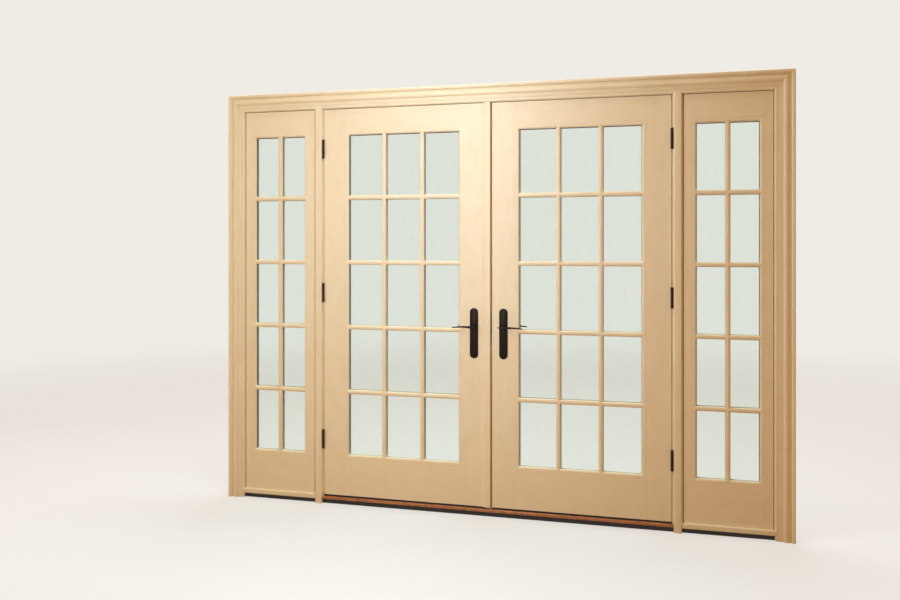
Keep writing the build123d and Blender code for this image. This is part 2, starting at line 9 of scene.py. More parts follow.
import bmesh
import bpy
import numpy as np
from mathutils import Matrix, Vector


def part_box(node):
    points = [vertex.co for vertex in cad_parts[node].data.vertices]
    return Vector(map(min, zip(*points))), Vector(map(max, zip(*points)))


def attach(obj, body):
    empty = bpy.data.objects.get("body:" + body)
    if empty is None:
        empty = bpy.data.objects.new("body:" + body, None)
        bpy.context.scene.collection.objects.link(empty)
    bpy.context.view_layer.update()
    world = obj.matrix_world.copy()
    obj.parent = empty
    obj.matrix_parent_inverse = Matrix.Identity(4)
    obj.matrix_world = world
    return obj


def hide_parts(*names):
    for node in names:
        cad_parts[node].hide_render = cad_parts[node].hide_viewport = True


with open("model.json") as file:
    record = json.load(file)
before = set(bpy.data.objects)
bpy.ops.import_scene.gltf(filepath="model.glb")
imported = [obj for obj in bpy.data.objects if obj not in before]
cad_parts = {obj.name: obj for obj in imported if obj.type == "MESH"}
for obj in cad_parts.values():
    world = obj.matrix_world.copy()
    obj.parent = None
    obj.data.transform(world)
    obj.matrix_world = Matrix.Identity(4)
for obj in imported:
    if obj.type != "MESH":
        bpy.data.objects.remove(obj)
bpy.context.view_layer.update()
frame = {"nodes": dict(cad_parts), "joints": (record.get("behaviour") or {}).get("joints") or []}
nodes = frame["nodes"]


# Painted timber frame: two side jambs, two posts and the head, rebated for what hangs in them.
# It's finger-jointed pine, primed and brushed with a cream satin alkyd, so the sheen is soft
# and shallow brush marks run along each piece.
MM = 0.001


def linear(code):
    """An sRGB hex colour as the linear RGBA that a shader takes."""
    parts = [int(code[i:i + 2], 16) / 255 for i in (1, 3, 5)]
    return [p / 12.92 if p <= 0.04045 else ((p + 0.055) / 1.055) ** 2.4 for p in parts] + [1.0]


def new_material(name):
    """An empty node material, and the tree to build it in."""
    material = bpy.data.materials.new(name)
    material.use_nodes = True
    material.node_tree.nodes.clear()
    return material, material.node_tree


def put(tree, kind, settings=None, inputs=None, stops=(), out=0):
    """Add one shader node with its settings, its inputs as values or sockets, and a ramp's
    stops as (place, hex colour) pairs. Gives back one of its output sockets."""
    made = tree.nodes.new(kind)
    for name, value in (settings or {}).items():
        setattr(made, name, value)
    for name, value in (inputs or {}).items():
        if isinstance(value, bpy.types.NodeSocket):
            tree.links.new(value, made.inputs[name])
        else:
            made.inputs[name].default_value = value
    while stops and len(made.color_ramp.elements) < len(stops):
        made.color_ramp.elements.new(0.5)
    for index, (place, code) in enumerate(stops):
        made.color_ramp.elements[index].position = place
        made.color_ramp.elements[index].color = linear(code)
    return made.outputs[out] if made.outputs else None


def along(tree, run, across, axis):
    """Object coordinates scaled so that a pattern is run long on one axis and across wide on
    the others, both in millimetres."""
    place = put(tree, "ShaderNodeTexCoord", out="Object")
    scale = [1 / (across * MM)] * 3
    scale["XYZ".index(axis)] = 1 / (run * MM)
    return put(tree, "ShaderNodeMapping", inputs={"Vector": place, "Scale": scale})


def satin_paint(name, axis):
    """Cream satin alkyd on pine. Brush marks are about 1.2 mm wide and 90 mm long, and are drawn
    a little coarser so that they show; 55 mm laps and a slow drift in tone lie under them."""
    material, tree = new_material(name)
    marks = put(tree, "ShaderNodeTexNoise", inputs={
        "Vector": along(tree, 90, 1.8, axis), "Detail": 3.0, "Roughness": 0.55})
    laps = put(tree, "ShaderNodeTexNoise", inputs={"Vector": along(tree, 900, 55, axis)})
    drift = put(tree, "ShaderNodeTexNoise", inputs={
        "Vector": along(tree, 420, 300, axis), "Detail": 3.0})
    both = put(tree, "ShaderNodeMath", {"operation": "MULTIPLY_ADD"}, {0: laps, 1: 0.6, 2: drift})
    tone = put(tree, "ShaderNodeMath", {"operation": "MULTIPLY_ADD"},
               {0: marks, 1: 0.25, 2: both})
    level = put(tree, "ShaderNodeMath", {"operation": "MULTIPLY"}, {0: tone, 1: 0.54})
    colour = put(tree, "ShaderNodeValToRGB", inputs={"Fac": level}, stops=[
        (0.34, "#EADFC2"), (0.5, "#EDE4C9"), (0.66, "#EFE7CE")])
    sheen = put(tree, "ShaderNodeMapRange", inputs={
        "Value": marks, "From Min": 0.3, "From Max": 0.7, "To Min": 0.36, "To Max": 0.5})
    bump = put(tree, "ShaderNodeBump", inputs={
        "Strength": 0.4, "Distance": 0.06 * MM, "Height": marks})
    surface = put(tree, "ShaderNodeBsdfPrincipled", inputs={
        "Base Color": colour, "Roughness": sheen, "IOR": 1.5, "Normal": bump})
    put(tree, "ShaderNodeOutputMaterial", inputs={"Surface": surface})
    return material


def finish_node(name, material):
    """Give a carried-over solid its finish."""
    slots = nodes[name].data.materials
    slots.clear()
    slots.append(material)


paint_up = satin_paint("cream_satin_paint_uprights", "Z")
paint_across = satin_paint("cream_satin_paint_rails", "X")
for side in ("left", "right"):
    finish_node(f"{side}_jamb", paint_up)
    finish_node(f"{side}_post", paint_up)
finish_node("head_jamb", paint_across)


# Weatherstrip of the middle bay: skinned brown urethane foam, pressed into a kerf in the rebate
# and mitred under the head, where the leaves close against it. A flat strip of the same dark foam
# lies under the head, over the leaves, as painted shade that stands in for the shadow in that gap.
STOP_H, HEAD_GAP = 13 * MM, 3 * MM
STRIP_W, STRIP_T = 8 * MM, 1.6 * MM
STRIP_INSET, STRIP_BEHIND = 1 * MM, 2 * MM
HEAD_STRIP_FRONT, HEAD_STRIP_BACK = 1.5 * MM, 12 * MM
HEAD_STRIP_T, HEAD_STRIP_END = 1.2 * MM, 1 * MM
CRISP_ANGLE = math.radians(32)


def foam_seal(name, low, high):
    """Skinned urethane foam, with a 2 mm pebble in its skin."""
    material, tree = new_material(name)
    pebble = put(tree, "ShaderNodeTexNoise", inputs={
        "Vector": along(tree, 3, 2, "Z"), "Detail": 3.0})
    colour = put(tree, "ShaderNodeValToRGB", inputs={"Fac": pebble}, stops=[
        (0.3, low), (0.7, high)])
    skin_rough = put(tree, "ShaderNodeMapRange", inputs={
        "Value": pebble, "From Min": 0.3, "From Max": 0.7, "To Min": 0.7, "To Max": 0.85})
    bump = put(tree, "ShaderNodeBump", inputs={
        "Strength": 0.4, "Distance": 0.15 * MM, "Height": pebble})
    surface = put(tree, "ShaderNodeBsdfPrincipled", inputs={
        "Base Color": colour, "Roughness": skin_rough, "Normal": bump})
    put(tree, "ShaderNodeOutputMaterial", inputs={"Surface": surface})
    return material


def skins(grids, loop):
    """Points and faces over grids of rings. Four neighbours make a face; the first and last
    ring get one face each, or are joined to each other where loop is set."""
    points, faces, start = [], [], 0
    for rings in grids:
        count, around = rings.shape[:2]
        index = np.arange(count * around).reshape(count, around) + start
        near = index if loop else index[:-1]
        far = np.roll(index, -1, 0) if loop else index[1:]
        quads = np.stack([near, np.roll(near, -1, 1), np.roll(far, -1, 1), far], -1)
        faces += quads.reshape(-1, 4).tolist()
        faces += [] if loop else [index[0].tolist(), index[-1].tolist()]
        points += rings.reshape(-1, 3).tolist()
        start += count * around
    return points, faces


def new_piece(name, grids, body, material, loop=False):
    """One new piece over grids of rings, its faces turned outwards and its flat parts kept
    crisp. It rides a body and takes a slot's finish."""
    mesh = bpy.data.meshes.new(name)
    points, faces = skins(grids, loop)
    mesh.from_pydata(points, [], faces)
    work = bmesh.new()
    work.from_mesh(mesh)
    bmesh.ops.recalc_face_normals(work, faces=work.faces)
    work.to_mesh(mesh)
    work.free()
    mesh.shade_smooth()
    mesh.set_sharp_from_angle(angle=CRISP_ANGLE)
    mesh.materials.append(material)
    made = bpy.data.objects.new(name, mesh)
    bpy.context.collection.objects.link(made)
    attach(made, body)
    return made


def door_bay():
    """The bay's half width at the leaves, and the height of the head's underside over them."""
    return (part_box("right_post")[0][0] + STOP_H,
            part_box("right_door_hinge_stile")[1][2] + HEAD_GAP)


def weatherstrip_rings():
    """A D section carried up one post, along the head and down the other. Over a half turn it
    runs across by STRIP_W times half of (1 - cos), and it stands proud by STRIP_T times the
    root of sin."""
    turn = np.linspace(0, math.pi, 9)
    across = STRIP_INSET + STRIP_W * (1 - np.cos(turn)) / 2
    proud = STRIP_T * np.sin(turn) ** 0.5
    bay_x, head_z = door_bay()
    edge_x, edge_z = bay_x - STOP_H, head_z - STOP_H
    stop_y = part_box("right_door_hinge_stile")[1][1] + STRIP_BEHIND
    foot_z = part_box("threshold")[1][2]
    stations = [(-1, None), (-1, edge_z), (1, edge_z), (1, None)]
    rings = [np.stack([sign * (edge_x + across), stop_y - proud,
                       np.full(across.shape, foot_z) if z is None else z + across], -1)
             for sign, z in stations]
    return np.array(rings)


def head_strip_rings():
    """A box section carried from post to post under the head. It stays clear of the leaves
    below it, and ends in front of the top bolt's socket."""
    bay_x, head_z = door_bay()
    end_x = bay_x - HEAD_STRIP_END
    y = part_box("head_jamb")[0][1] + np.array([HEAD_STRIP_FRONT, HEAD_STRIP_BACK,
                                              HEAD_STRIP_BACK, HEAD_STRIP_FRONT])
    z = head_z - np.array([HEAD_STRIP_T, HEAD_STRIP_T, 0, 0])
    return np.array([np.stack([np.full(4, x), y, z], -1) for x in (-end_x, end_x)])


# The dark foam is the weatherstrip's own colour, and is also used as painted shade in the head gap
# and the sidelight joints.
dark_foam_and_painted_shade = foam_seal("dark_brown_foam", "#2A1C12", "#3C2A1C")
new_piece("door_bay_weatherstrip", [weatherstrip_rings()], "frame", dark_foam_and_painted_shade)
new_piece("head_gap_strip", [head_strip_rings()], "frame", dark_foam_and_painted_shade)


# Sill and threshold. The sill is a hardwood bar stained almost black, bevelled outdoors to shed
# water. On it lies an oak threshold under a clear coat, and a painted ledge in each side bay.
def clear_oak():
    """Red oak under polyurethane. Growth rings are about 4 mm apart across the board and pores
    are drawn 12 mm long and 0.7 mm wide, twice their real width."""
    material, tree = new_material("clear_coated_oak")
    warp = put(tree, "ShaderNodeTexNoise", inputs={
        "Vector": along(tree, 260, 30, "X"), "Detail": 3.0})
    shift = put(tree, "ShaderNodeMapRange", inputs={
        "Value": warp, "From Min": 0.3, "From Max": 0.7, "To Min": -1.6, "To Max": 1.6})
    moved = put(tree, "ShaderNodeVectorMath", {"operation": "ADD"}, {
        0: along(tree, 900, 4, "X"),
        1: put(tree, "ShaderNodeCombineXYZ", inputs={"Y": shift, "Z": shift})})
    rings = put(tree, "ShaderNodeTexWave", {"bands_direction": "Y"}, {
        "Vector": moved, "Scale": 0.16, "Distortion": 2.2, "Detail": 3.0}, out="Fac")
    pores = put(tree, "ShaderNodeTexNoise", inputs={
        "Vector": along(tree, 12, 0.7, "X"), "Detail": 1.0})
    dark = put(tree, "ShaderNodeMapRange", inputs={
        "Value": pores, "From Min": 0.56, "From Max": 0.68, "To Min": 0.0, "To Max": 0.7})
    wood = put(tree, "ShaderNodeValToRGB", inputs={"Fac": rings}, stops=[
        (0.0, "#96562A"), (0.45, "#B57038"), (1.0, "#C88A50")])
    colour = put(tree, "ShaderNodeMix", {"data_type": "RGBA"}, {
        0: dark, 6: wood, 7: linear("#4A2211")}, out=2)
    bump = put(tree, "ShaderNodeBump", {"invert": True}, {
        "Strength": 0.3, "Distance": 0.08 * MM, "Height": dark})
    gloss = put(tree, "ShaderNodeMapRange", inputs={
        "Value": pores, "From Min": 0.3, "From Max": 0.7, "To Min": 0.38, "To Max": 0.5})
    surface = put(tree, "ShaderNodeBsdfPrincipled", inputs={
        "Base Color": colour, "Roughness": gloss, "Coat Weight": 0.3, "Coat Roughness": 0.25,
        "Normal": bump})
    put(tree, "ShaderNodeOutputMaterial", inputs={"Surface": surface})
    return material


def dark_stain():
    """Hardwood under a near-black stain: grain 1.5 mm wide, dull with a worn drift."""
    material, tree = new_material("dark_stained_hardwood")
    grain = put(tree, "ShaderNodeTexNoise", inputs={
        "Vector": along(tree, 70, 1.5, "X"), "Detail": 4.0, "Roughness": 0.6})
    scuffs = put(tree, "ShaderNodeTexNoise", inputs={
        "Vector": along(tree, 60, 25, "X"), "Detail": 4.0})
    colour = put(tree, "ShaderNodeValToRGB", inputs={"Fac": grain}, stops=[
        (0.3, "#120B08"), (0.5, "#1C120D"), (0.72, "#2C1C14")])
    gloss = put(tree, "ShaderNodeMapRange", inputs={
        "Value": scuffs, "From Min": 0.3, "From Max": 0.7, "To Min": 0.45, "To Max": 0.65})
    bump = put(tree, "ShaderNodeBump", inputs={
        "Strength": 0.4, "Distance": 0.12 * MM, "Height": grain})
    surface = put(tree, "ShaderNodeBsdfPrincipled", inputs={
        "Base Color": colour, "Roughness": gloss, "Normal": bump})
    put(tree, "ShaderNodeOutputMaterial", inputs={"Surface": surface})
    return material


finish_node("threshold", clear_oak())
finish_node("sill", dark_stain())
for side in ("left", "right"):
    finish_node(f"{side}_ledge", paint_across)


# Interior casing: moulded pine legs and a head mitred to them, nailed to the frame's room face,
# and a flat board on each post. The moulding's face is drawn anew here, with its bullnose lip,
# flat, hump and back band (in millimetres), and its lip reaches nearer to the panels.
LIP_REACH, LIP_FOOT, LIP_T, FLAT_T, QUIRK = 5, 3, 10, 12, 1.8
HUMP_FROM, HUMP_W, HUMP_H = 31, 36, 9
BAND_FROM, BAND_W, BAND_FOOT, BAND_T, BAND_CORNER, BAND_END = 67.4, 9.6, 11, 24, 3, 86
MITRE_GAP = 0.2 * MM
EASE_W, EASE_D = 6 * MM, 10 * MM


def casing_profile():
    """(across, proud) places in millimetres, from the inner edge to the outer one. Between two
    quirks lies a flat; the hump is HUMP_H times sin(pi u^0.75) for a share u of its width; the
    lip, the band's inner side and the band's corner are quarter ellipses."""
    quarter = np.linspace(0, math.pi / 2, 9)
    lip = np.column_stack([-LIP_REACH * np.cos(quarter),
                           LIP_FOOT + (LIP_T - LIP_FOOT) * np.sin(quarter)])
    flat = [(9, LIP_T), (9.5, LIP_T - QUIRK), (11.5, LIP_T - QUIRK), (12, FLAT_T - 0.6),
            (12.8, FLAT_T), (28.6, FLAT_T), (29.2, FLAT_T - QUIRK), (HUMP_FROM, FLAT_T - QUIRK)]
    share = np.linspace(0, 1, 19)
    hump = np.column_stack([HUMP_FROM + HUMP_W * share,
                            FLAT_T + HUMP_H * np.sin(math.pi * share ** 0.75)])
    band = np.column_stack([BAND_FROM + BAND_W * (1 - np.cos(quarter)),
                            BAND_FOOT + (BAND_T - BAND_FOOT) * np.sin(quarter)])
    corner = np.column_stack([BAND_END - BAND_CORNER * (1 - np.sin(quarter)),
                              BAND_T - BAND_CORNER * (1 - np.cos(quarter))])
    return np.vstack([[(-LIP_REACH, 0)], lip, flat, hump, band, corner, [(BAND_END, 0)]])


def casing_rings(sides):
    """The profile at both ends of one bar. A place's distance across moves it outwards on a leg
    and up on the head, so both meet in a mitre. sides is (-1, 1) for the head, else (-1,) or
    (1,) for a leg, which runs from the floor to its mitre."""
    inner_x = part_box("right_casing")[0][0]
    inner_z, back_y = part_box("head_casing")[0][2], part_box("head_casing")[1][1]
    across, proud = casing_profile().T * MM
    high = inner_z + across
    if len(sides) == 1:
        ends = [(sides[0], 0 * across), (sides[0], high - MITRE_GAP)]
    else:
        ends = [(-1, high), (1, high)]
    return np.array([np.stack([sign * (inner_x + across), back_y - proud, z], -1)
                     for sign, z in ends])


for name, sides, paint in (("left_casing", (-1,), paint_up), ("right_casing", (1,), paint_up),
                           ("head_casing", (-1, 1), paint_across)):
    moulding = new_piece(f"{name}_moulding", [casing_rings(sides)], "frame", paint)
    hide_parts(name)


def post_board_rings(side):
    """A flat board from the floor to the head's lip, its front edges eased by quarter ellipses
    EASE_W wide and EASE_D deep."""
    low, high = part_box(f"{side}_post_casing")
    middle, half = (low[0] + high[0]) / 2, (high[0] - low[0]) / 2
    quarter = np.linspace(0, math.pi / 2, 9)
    across = half - EASE_W * (1 - np.cos(quarter))
    eased = low[1] + EASE_D * (1 - np.sin(quarter))
    x = middle + np.concatenate([[half], across, -across[::-1], [-half]])
    y = np.concatenate([[high[1]], eased, eased[::-1], [high[1]]])
    return np.array([np.stack([x, y, np.full(x.shape, z)], -1) for z in (low[2], high[2])])


for side in ("left", "right"):
    board = new_piece(f"{side}_post_board", [post_board_rings(side)], "frame",
                      paint_up)
    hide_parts(f"{side}_post_casing")


# Sidelights and door leaves: stiles run through, rails are tenoned between them, and one lattice
# of beads and muntins on each face holds the glass. All of it has the frame's paint.
PANELS = [f"{side}_{kind}" for side in ("left", "right") for kind in ("sidelight", "door")]
STILES = {"sidelight": ("outer_stile", "inner_stile"), "door": ("hinge_stile", "lock_stile")}
for panel in PANELS:
    kind = panel.split("_")[1]
    for stile in STILES[kind]:
        finish_node(f"{panel}_{stile}", paint_up)
    for rail in ("top_rail", "bottom_rail"):
        finish_node(f"{panel}_{rail}", paint_across)
    finish_node(f"{panel}_muntins", paint_up)
finish_node("astragal", paint_up)


# Sidelight gaskets: dark foam packed into the narrow joint between each sidelight and the frame,
# just under the room face, as painted shade that stands in for the joint's shadow, so it reads as
# a thin brown line.
GASKET_SET_BACK, GASKET_D = 0.8 * MM, 12 * MM
GASKET_LOOSE = 0.05


def gasket_rings(side):
    """A box section carried up one side of the sidelight, over its top and down the other, with
    mitred corners. It fills the joint, less GASKET_LOOSE of its width on each side."""
    outer, inner = [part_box(f"{side}_sidelight_{stile}") for stile in STILES["sidelight"]]
    joint_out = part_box(f"{side}_jamb")[1 if side == "left" else 0][0]
    joint_out += STOP_H if side == "right" else -STOP_H
    low_x, high_x = min(inner[0][0], outer[0][0]), max(inner[1][0], outer[1][0])
    joint = joint_out - high_x if side == "right" else low_x - joint_out
    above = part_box(f"{side}_post")[1][2] - inner[1][2]
    share = np.array([GASKET_LOOSE, 1 - GASKET_LOOSE, 1 - GASKET_LOOSE, GASKET_LOOSE])
    y = inner[0][1] + GASKET_SET_BACK + np.array([0, 0, 1, 1]) * GASKET_D
    left, right, top = low_x - joint * share, high_x + joint * share, inner[1][2] + above * share
    foot = np.full(4, inner[0][2])
    return np.array([np.stack(ends, -1) for ends in ((left, y, foot), (left, y, top),
                                                     (right, y, top), (right, y, foot))])


for side in ("left", "right"):
    new_piece(f"{side}_sidelight_gasket", [gasket_rings(side)], "frame", dark_foam_and_painted_shade)


# Door sweeps: a black vinyl strip under each leaf, set back from the room face, that closes the
# gap over the threshold and makes it read dark.
SWEEP_SET_BACK, SWEEP_D, SWEEP_DROP = 1.5 * MM, 30 * MM, 9.4 * MM
SWEEP_END, RIBS, RIB_H = 2 * MM, 3, 1.5 * MM


def black_vinyl():
    """Extruded black PVC: dull, with faint die lines 0.6 mm apart along it."""
    material, tree = new_material("black_extruded_vinyl")
    lines = put(tree, "ShaderNodeTexNoise", inputs={
        "Vector": along(tree, 200, 0.6, "X"), "Detail": 2.0})
    colour = put(tree, "ShaderNodeValToRGB", inputs={"Fac": lines}, stops=[
        (0.3, "#0B0A09"), (0.7, "#171513")])
    dull = put(tree, "ShaderNodeMapRange", inputs={
        "Value": lines, "From Min": 0.3, "From Max": 0.7, "To Min": 0.55, "To Max": 0.75})
    surface = put(tree, "ShaderNodeBsdfPrincipled", inputs={
        "Base Color": colour, "Roughness": dull})
    put(tree, "ShaderNodeOutputMaterial", inputs={"Surface": surface})
    return material


def sweep_rings(side):
    """A box section carried along the leaf's foot. Its underside lies SWEEP_DROP down at its
    edges and between RIBS shallow arches, each of which rises by RIB_H times |sin|."""
    hinge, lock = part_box(f"{side}_door_hinge_stile"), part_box(f"{side}_door_lock_stile")
    share = np.linspace(0, 1, 25)
    deep = hinge[0][1] + SWEEP_SET_BACK + SWEEP_D * share
    low = hinge[0][2] - SWEEP_DROP + RIB_H * np.abs(np.sin(RIBS * math.pi * share))
    ring_y = np.concatenate([deep, deep[::-1]])
    ring_z = np.concatenate([low, np.full(share.shape, hinge[0][2])])
    ends = [min(hinge[0][0], lock[0][0]) + SWEEP_END, max(hinge[1][0], lock[1][0]) - SWEEP_END]
    return np.array([np.stack([np.full(ring_y.shape, x), ring_y, ring_z], -1) for x in ends])


vinyl = black_vinyl()
for side in ("left", "right"):
    new_piece(f"{side}_door_sweep", [sweep_rings(side)], f"{side}_leaf", vinyl)


# Sealed glass units: two panes of float glass, with a dark aluminium spacer and bars between
# them. The glass bends what is behind it very little and passes nearly all of the lamps' light.
SPACER_SIGHT = 24 * MM


def float_glass():
    """Soda-lime float glass: smooth and clear, with a faint green cast that drifts over 120 to
    180 mm. The lamps' light goes straight through it and takes on that cast."""
    material, tree = new_material("clear_float_glass")
    film = put(tree, "ShaderNodeTexNoise", inputs={
        "Vector": along(tree, 180, 120, "Z"), "Detail": 4.0})
    tint = put(tree, "ShaderNodeValToRGB", inputs={"Fac": film}, stops=[
        (0.35, "#F4F9F6"), (0.65, "#F6FAF8")])
    body = put(tree, "ShaderNodeBsdfPrincipled", inputs={
        "Base Color": tint, "Roughness": 0.01, "IOR": 1.5, "Transmission Weight": 1.0})
    lamps = put(tree, "ShaderNodeBsdfTransparent", inputs={"Color": linear("#F2F8F5")})
    shadow = put(tree, "ShaderNodeLightPath", out="Is Shadow Ray")
    both = put(tree, "ShaderNodeMixShader", inputs={0: shadow, 1: body, 2: lamps})
    put(tree, "ShaderNodeOutputMaterial", inputs={"Surface": both})
    return material


def anodised_spacer():
    """Roll-formed aluminium, anodised bronze: 0.8 mm rolling lines along it and a dull sheen.
    Its upward faces, and its foot up to SPACER_SIGHT, are painted a pale, dull, non-metallic
    tone, a painted highlight that stands in for daylight falling on them."""
    material, tree = new_material("bronze_anodised_aluminium")
    lines = put(tree, "ShaderNodeTexNoise", inputs={"Vector": along(tree, 120, 0.8, "Z")})
    bare = put(tree, "ShaderNodeValToRGB", inputs={"Fac": lines}, stops=[
        (0.3, "#2A241C"), (0.7, "#3D352A")])
    # Painted highlight: up-facing faces and the band at the foot turn pale and lose their metal,
    # standing in for daylight on them.
    facing = put(tree, "ShaderNodeSeparateXYZ", inputs={
        "Vector": put(tree, "ShaderNodeNewGeometry", out="Normal")}, out="Z")
    up_facing_light = put(tree, "ShaderNodeMapRange", inputs={
        "Value": facing, "From Min": 0.6, "From Max": 0.95})
    height = put(tree, "ShaderNodeSeparateXYZ", inputs={
        "Vector": put(tree, "ShaderNodeTexCoord", out="Object")}, out="Z")
    foot_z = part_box("left_door_spacer")[0][2] + SPACER_SIGHT
    foot = put(tree, "ShaderNodeMapRange", inputs={
        "Value": height, "From Min": foot_z, "From Max": foot_z + MM, "To Min": 1.0,
        "To Max": 0.0})
    painted_top_light = put(tree, "ShaderNodeMath", {"operation": "MAXIMUM"}, {0: up_facing_light, 1: foot})
    colour = put(tree, "ShaderNodeMix", {"data_type": "RGBA"}, {
        0: painted_top_light, 6: bare, 7: linear("#EFE9DC")}, out=2)
    metal = put(tree, "ShaderNodeMapRange", inputs={
        "Value": painted_top_light, "To Min": 0.8, "To Max": 0.0})
    dull = put(tree, "ShaderNodeMapRange", inputs={
        "Value": lines, "From Min": 0.3, "From Max": 0.7, "To Min": 0.42, "To Max": 0.58})
    surface = put(tree, "ShaderNodeBsdfPrincipled", inputs={
        "Base Color": colour, "Metallic": metal, "Roughness": dull})
    put(tree, "ShaderNodeOutputMaterial", inputs={"Surface": surface})
    return material


glass, spacer_metal_and_painted_light = float_glass(), anodised_spacer()
for panel in PANELS:
    finish_node(f"{panel}_panes", glass)
    finish_node(f"{panel}_spacer", spacer_metal_and_painted_light)


# Hinges: three on each leaf, two let-in leaves and a five-knuckle barrel on a pin, in solid brass
# with an oil-rubbed bronze finish. Three countersunk screws hold each hinge leaf.
HINGE_DROPS, HINGE_RISE = (213 * MM, 990 * MM), 300 * MM
HINGE_SCREWS = [(24 * MM, -32 * MM), (12 * MM, 0.0), (24 * MM, 32 * MM)]
HINGE_SCREW_R = 4.2 * MM
SLOT_SHARE, SLOT_WALL = 0.16, 0.02
DOME_H, SLOT_D, HEAD_SUNK = 0.3 * MM, 0.8 * MM, 0.5 * MM


def rubbed_bronze(name, dark, middle, worn):
    """Brass under a chemical dark patina. Blotches are about 9 mm across, a fine 0.6 mm tooth
    breaks the shine, and a share of it is rubbed back to brown."""
    material, tree = new_material(name)
    blotch = put(tree, "ShaderNodeTexNoise", inputs={
        "Vector": along(tree, 9, 9, "Z"), "Detail": 4.0, "Roughness": 0.6})
    tooth = put(tree, "ShaderNodeTexNoise", inputs={"Vector": along(tree, 0.6, 0.6, "Z")})
    colour = put(tree, "ShaderNodeValToRGB", inputs={"Fac": blotch}, stops=[
        (0.3, dark), (0.55, middle), (0.8, worn)])
    metal = put(tree, "ShaderNodeMapRange", inputs={
        "Value": blotch, "From Min": 0.3, "From Max": 0.7, "To Min": 0.7, "To Max": 0.9})
    gloss = put(tree, "ShaderNodeMapRange", inputs={
        "Value": tooth, "From Min": 0.3, "From Max": 0.7, "To Min": 0.32, "To Max": 0.46})
    bump = put(tree, "ShaderNodeBump", inputs={
        "Strength": 0.25, "Distance": 0.05 * MM, "Height": tooth})
    surface = put(tree, "ShaderNodeBsdfPrincipled", inputs={
        "Base Color": colour, "Metallic": metal, "Roughness": gloss, "Normal": bump})
    put(tree, "ShaderNodeOutputMaterial", inputs={"Surface": surface})
    return material


def screw_head(centre, sideways, outward, radius, turn):
    """A slotted screw head on a face, as rings round its middle. sideways and outward are unit
    vectors. Its height is a low dome, DOME_H times one less the square of the radius share, and
    inside the slot, SLOT_SHARE of the radius to each side, it is SLOT_D lower. Each ring's points
    crowd to the slot's edges, whose walls take SLOT_WALL radians."""
    share = np.array([1.0, 0.97, 0.7, 0.45, 0.18])
    edge = np.arcsin(SLOT_SHARE / share)[:, None]
    floor = edge * np.linspace(-1, 1, 3)
    top = edge + SLOT_WALL + (math.pi - 2 * edge - 2 * SLOT_WALL) * np.linspace(0, 1, 8)
    angle = np.hstack([floor, top, floor + math.pi, top + math.pi]) + turn
    low = np.array(([1] * 3 + [0] * 8) * 2)[None, :]
    low = np.vstack([np.zeros_like(low), np.repeat(low, 3, 0), np.ones_like(low)])
    rise = DOME_H * (1 - share[:, None] ** 2) - SLOT_D * low
    outward, sideways = np.array(outward, float), np.array(sideways, float)
    third = np.cross(outward, sideways)
    reach = (share * radius)[:, None]
    across, up = reach * np.cos(angle), reach * np.sin(angle)
    top_rings = (np.array(centre) + across[..., None] * sideways + up[..., None] * third
                 + rise[..., None] * outward)
    back = top_rings[:1] - HEAD_SUNK * outward
    return np.vstack([back, top_rings])


def hinge_heights(side):
    """Heights of a leaf's three hinges."""
    low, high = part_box(f"{side}_door_hinge_stile")
    return [high[2] - drop for drop in HINGE_DROPS] + [low[2] + HINGE_RISE]


def hinge_screws(side, face_x, outward_x):
    """Three screws on each hinge leaf of one side, on the face at face_x. Their slots are turned
    by their place in the leaf and their hinge's height, so that no two line up."""
    face_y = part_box(f"{side}_door_hinge_stile")[0][1]
    return [screw_head((face_x, face_y + deep, z + up), (0, 1, 0), (outward_x, 0, 0),
                       HINGE_SCREW_R, 0.9 * index + z)
            for z in hinge_heights(side) for index, (deep, up) in enumerate(HINGE_SCREWS)]


hinge_bronze = rubbed_bronze("oil_rubbed_bronze_hinges", "#220F09", "#3E1A0D", "#6E3419")
for side, sign in (("left", -1), ("right", 1)):
    finish_node(f"{side}_hinge_frame_leaves", hinge_bronze)
    finish_node(f"{side}_hinge_door_leaves", hinge_bronze)
    door_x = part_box(f"{side}_door_hinge_stile")[0 if side == "left" else 1][0]
    post_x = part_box(f"{side}_post")[1 if side == "left" else 0][0]
    new_piece(f"{side}_hinge_door_screws", hinge_screws(side, door_x, sign), f"{side}_leaf",
              hinge_bronze)
    new_piece(f"{side}_hinge_frame_screws", hinge_screws(side, post_x + sign * STOP_H, -sign),
              "frame", hinge_bronze)
finish_node("hinge_pins", hinge_bronze)


# Handles: a long escutcheon on each face of both leaves, and a forged lever on each, joined
# through the stile by a square spindle. Two screws pass through from the room side.
PLATE_T, PLATE_R, PLATE_POINTS = 6 * MM, 22 * MM, 25
NECK_R, BORE_CLEAR = 9 * MM, 0.2 * MM
LEVER_L, LEVER_BACK, LEVER_STAND = 108 * MM, 24 * MM, 46 * MM
LEVER_ROOT, LEVER_WAIST, LEVER_TIP = 8 * MM, 6 * MM, 2.8 * MM
LEVER_DEPTH, LEVER_TIP_DEPTH = 5 * MM, 3 * MM
LEVER_ARCH, LEVER_DROOP, LEVER_CURL = 3 * MM, 2.5 * MM, 3.5 * MM
ROOT_SWELL, BACK_SWELL, DEPTH_SWELL = 15 * MM, 9 * MM, 38 * MM
LEVER_END, LEVER_TRIM, LEVER_POWER = 5 * MM, 0.02, 2.5
LEVER_RINGS, LEVER_POINTS, NECK_POINTS = 72, 28, 36
SPINDLE_HALF, SPINDLE_START, SPINDLE_PAST = 4 * MM, 2 * MM, 22 * MM
PLATE_SCREW_R, PLATE_SCREW_IN = 3.6 * MM, 15 * MM
handle_bronze = rubbed_bronze("oil_rubbed_bronze_handles", "#120C09", "#1D130E", "#33190D")


def leaf_faces(side):
    """The room face and the outdoor face of a leaf, along Y."""
    low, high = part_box(f"{side}_door_lock_stile")
    return low[1], high[1]


def pivot_of(side):
    """Middle of a leaf's spindle, as (x, z)."""
    joint = next(j for j in frame["joints"] if j["name"] == f"{side}_lever_turn")
    return joint["pos_m"][0], joint["pos_m"][2]


